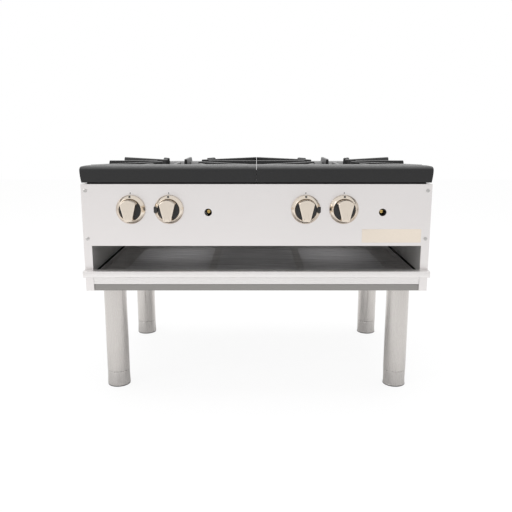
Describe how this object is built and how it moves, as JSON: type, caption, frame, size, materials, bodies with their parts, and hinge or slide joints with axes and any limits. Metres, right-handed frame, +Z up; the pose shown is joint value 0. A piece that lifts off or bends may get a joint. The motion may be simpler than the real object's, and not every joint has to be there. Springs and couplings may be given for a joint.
{
  "type": "stock pot range",
  "caption": "Low free-standing gas range for stock pots: ring burners under heavy cast grates, front knobs, full-width pull-out drip tray, round legs with levelling feet.",
  "frame": {"origin": "under the middle of the whole range's footprint, on the floor", "axes": "+X to the right as seen by its user, +Y to the back, +Z up"},
  "size_m": [0.9144, 0.654, 0.626],
  "materials": {
    "brushed_steel": "fine brushed stainless sheet and tube",
    "galvanised_steel": "dull galvanised folded steel",
    "cast_iron": "matt black cast iron",
    "black_pipe": "black steel gas pipe",
    "brass": "machined brass",
    "polished_nickel": "polished warm nickel plate",
    "zinc_screw": "zinc-plated screw"
  },
  "bodies": {
    "cabinet": {"back_panel": "galvanised_steel", "base_front_rail": "galvanised_steel", "base_left_rail": "galvanised_steel", "base_rear_rail": "galvanised_steel", "base_right_rail": "galvanised_steel", "control_panel": "brushed_steel", "front_cross_rail": "galvanised_steel", "front_left_leg": "brushed_steel", "front_right_leg": "brushed_steel", "left_inner_burner": "cast_iron", "left_inner_burner_rail": "galvanised_steel", "left_inner_gas_valve": "brass", "left_liner": "galvanised_steel", "left_outer_burner": "cast_iron", "left_outer_burner_rail": "galvanised_steel", "left_outer_gas_valve": "brass", "left_pilot_line": "galvanised_steel", "left_pilot_valve": "brass", "left_side_panel": "brushed_steel", "left_tray_runner": "galvanised_steel", "manifold": "black_pipe", "panel_screw_left_lower": "zinc_screw", "panel_screw_left_upper": "zinc_screw", "panel_screw_right_lower": "zinc_screw", "panel_screw_right_upper": "zinc_screw", "rear_cross_rail": "galvanised_steel", "rear_left_leg": "brushed_steel", "rear_right_leg": "brushed_steel", "right_inner_burner": "cast_iron", "right_inner_burner_rail": "galvanised_steel", "right_inner_gas_valve": "brass", "right_liner": "galvanised_steel", "right_outer_burner": "cast_iron", "right_outer_burner_rail": "galvanised_steel", "right_outer_gas_valve": "brass", "right_pilot_line": "galvanised_steel", "right_pilot_valve": "brass", "right_side_panel": "brushed_steel", "right_tray_runner": "galvanised_steel"},
    "tray": {"drip_tray": "brushed_steel"},
    "left_grate": {"left_top_grate": "cast_iron"},
    "left_outer_control": {"left_outer_knob": "polished_nickel", "left_outer_valve_stem": "brass"},
    "left_inner_control": {"left_inner_knob": "polished_nickel", "left_inner_valve_stem": "brass"},
    "left_pilot_adjuster": {"left_pilot_screw": "brass"},
    "right_grate": {"right_top_grate": "cast_iron"},
    "right_outer_control": {"right_outer_knob": "polished_nickel", "right_outer_valve_stem": "brass"},
    "right_inner_control": {"right_inner_knob": "polished_nickel", "right_inner_valve_stem": "brass"},
    "right_pilot_adjuster": {"right_pilot_screw": "brass"},
    "front_left_leveller": {"front_left_foot": "brushed_steel"},
    "front_right_leveller": {"front_right_foot": "brushed_steel"},
    "rear_left_leveller": {"rear_left_foot": "brushed_steel"},
    "rear_right_leveller": {"rear_right_foot": "brushed_steel"}
  },
  "joints": [
    {"name": "drip_tray_slide", "type": "slide", "parent": "cabinet", "child": "tray", "axis": [0, -1, 0], "range_m": [0, 0.5]},
    {"name": "left_grate_lift", "type": "slide", "parent": "cabinet", "child": "left_grate", "axis": [0, 0, 1], "range_m": [0, 0.12]},
    {"name": "left_outer_knob_turn", "type": "hinge", "parent": "cabinet", "child": "left_outer_control", "pos_m": [-0.3286, -0.281, 0.51], "axis": [0, -1, 0], "range_deg": [0, 90]},
    {"name": "left_inner_knob_turn", "type": "hinge", "parent": "cabinet", "child": "left_inner_control", "pos_m": [-0.2286, -0.281, 0.51], "axis": [0, -1, 0], "range_deg": [0, 90]},
    {"name": "left_pilot_screw_turn", "type": "hinge", "parent": "cabinet", "child": "left_pilot_adjuster", "pos_m": [-0.1266, -0.261, 0.502], "axis": [0, -1, 0], "range_deg": [0, 360]},
    {"name": "right_grate_lift", "type": "slide", "parent": "cabinet", "child": "right_grate", "axis": [0, 0, 1], "range_m": [0, 0.12]},
    {"name": "right_outer_knob_turn", "type": "hinge", "parent": "cabinet", "child": "right_outer_control", "pos_m": [0.1286, -0.281, 0.51], "axis": [0, -1, 0], "range_deg": [0, 90]},
    {"name": "right_inner_knob_turn", "type": "hinge", "parent": "cabinet", "child": "right_inner_control", "pos_m": [0.2286, -0.281, 0.51], "axis": [0, -1, 0], "range_deg": [0, 90]},
    {"name": "right_pilot_screw_turn", "type": "hinge", "parent": "cabinet", "child": "right_pilot_adjuster", "pos_m": [0.3306, -0.261, 0.502], "axis": [0, -1, 0], "range_deg": [0, 360]},
    {"name": "front_left_foot_extend", "type": "slide", "parent": "cabinet", "child": "front_left_leveller", "axis": [0, 0, -1], "range_m": [0, 0.025]},
    {"name": "front_right_foot_extend", "type": "slide", "parent": "cabinet", "child": "front_right_leveller", "axis": [0, 0, -1], "range_m": [0, 0.025]},
    {"name": "rear_left_foot_extend", "type": "slide", "parent": "cabinet", "child": "rear_left_leveller", "axis": [0, 0, -1], "range_m": [0, 0.025]},
    {"name": "rear_right_foot_extend", "type": "slide", "parent": "cabinet", "child": "rear_right_leveller", "axis": [0, 0, -1], "range_m": [0, 0.025]}
  ]
}
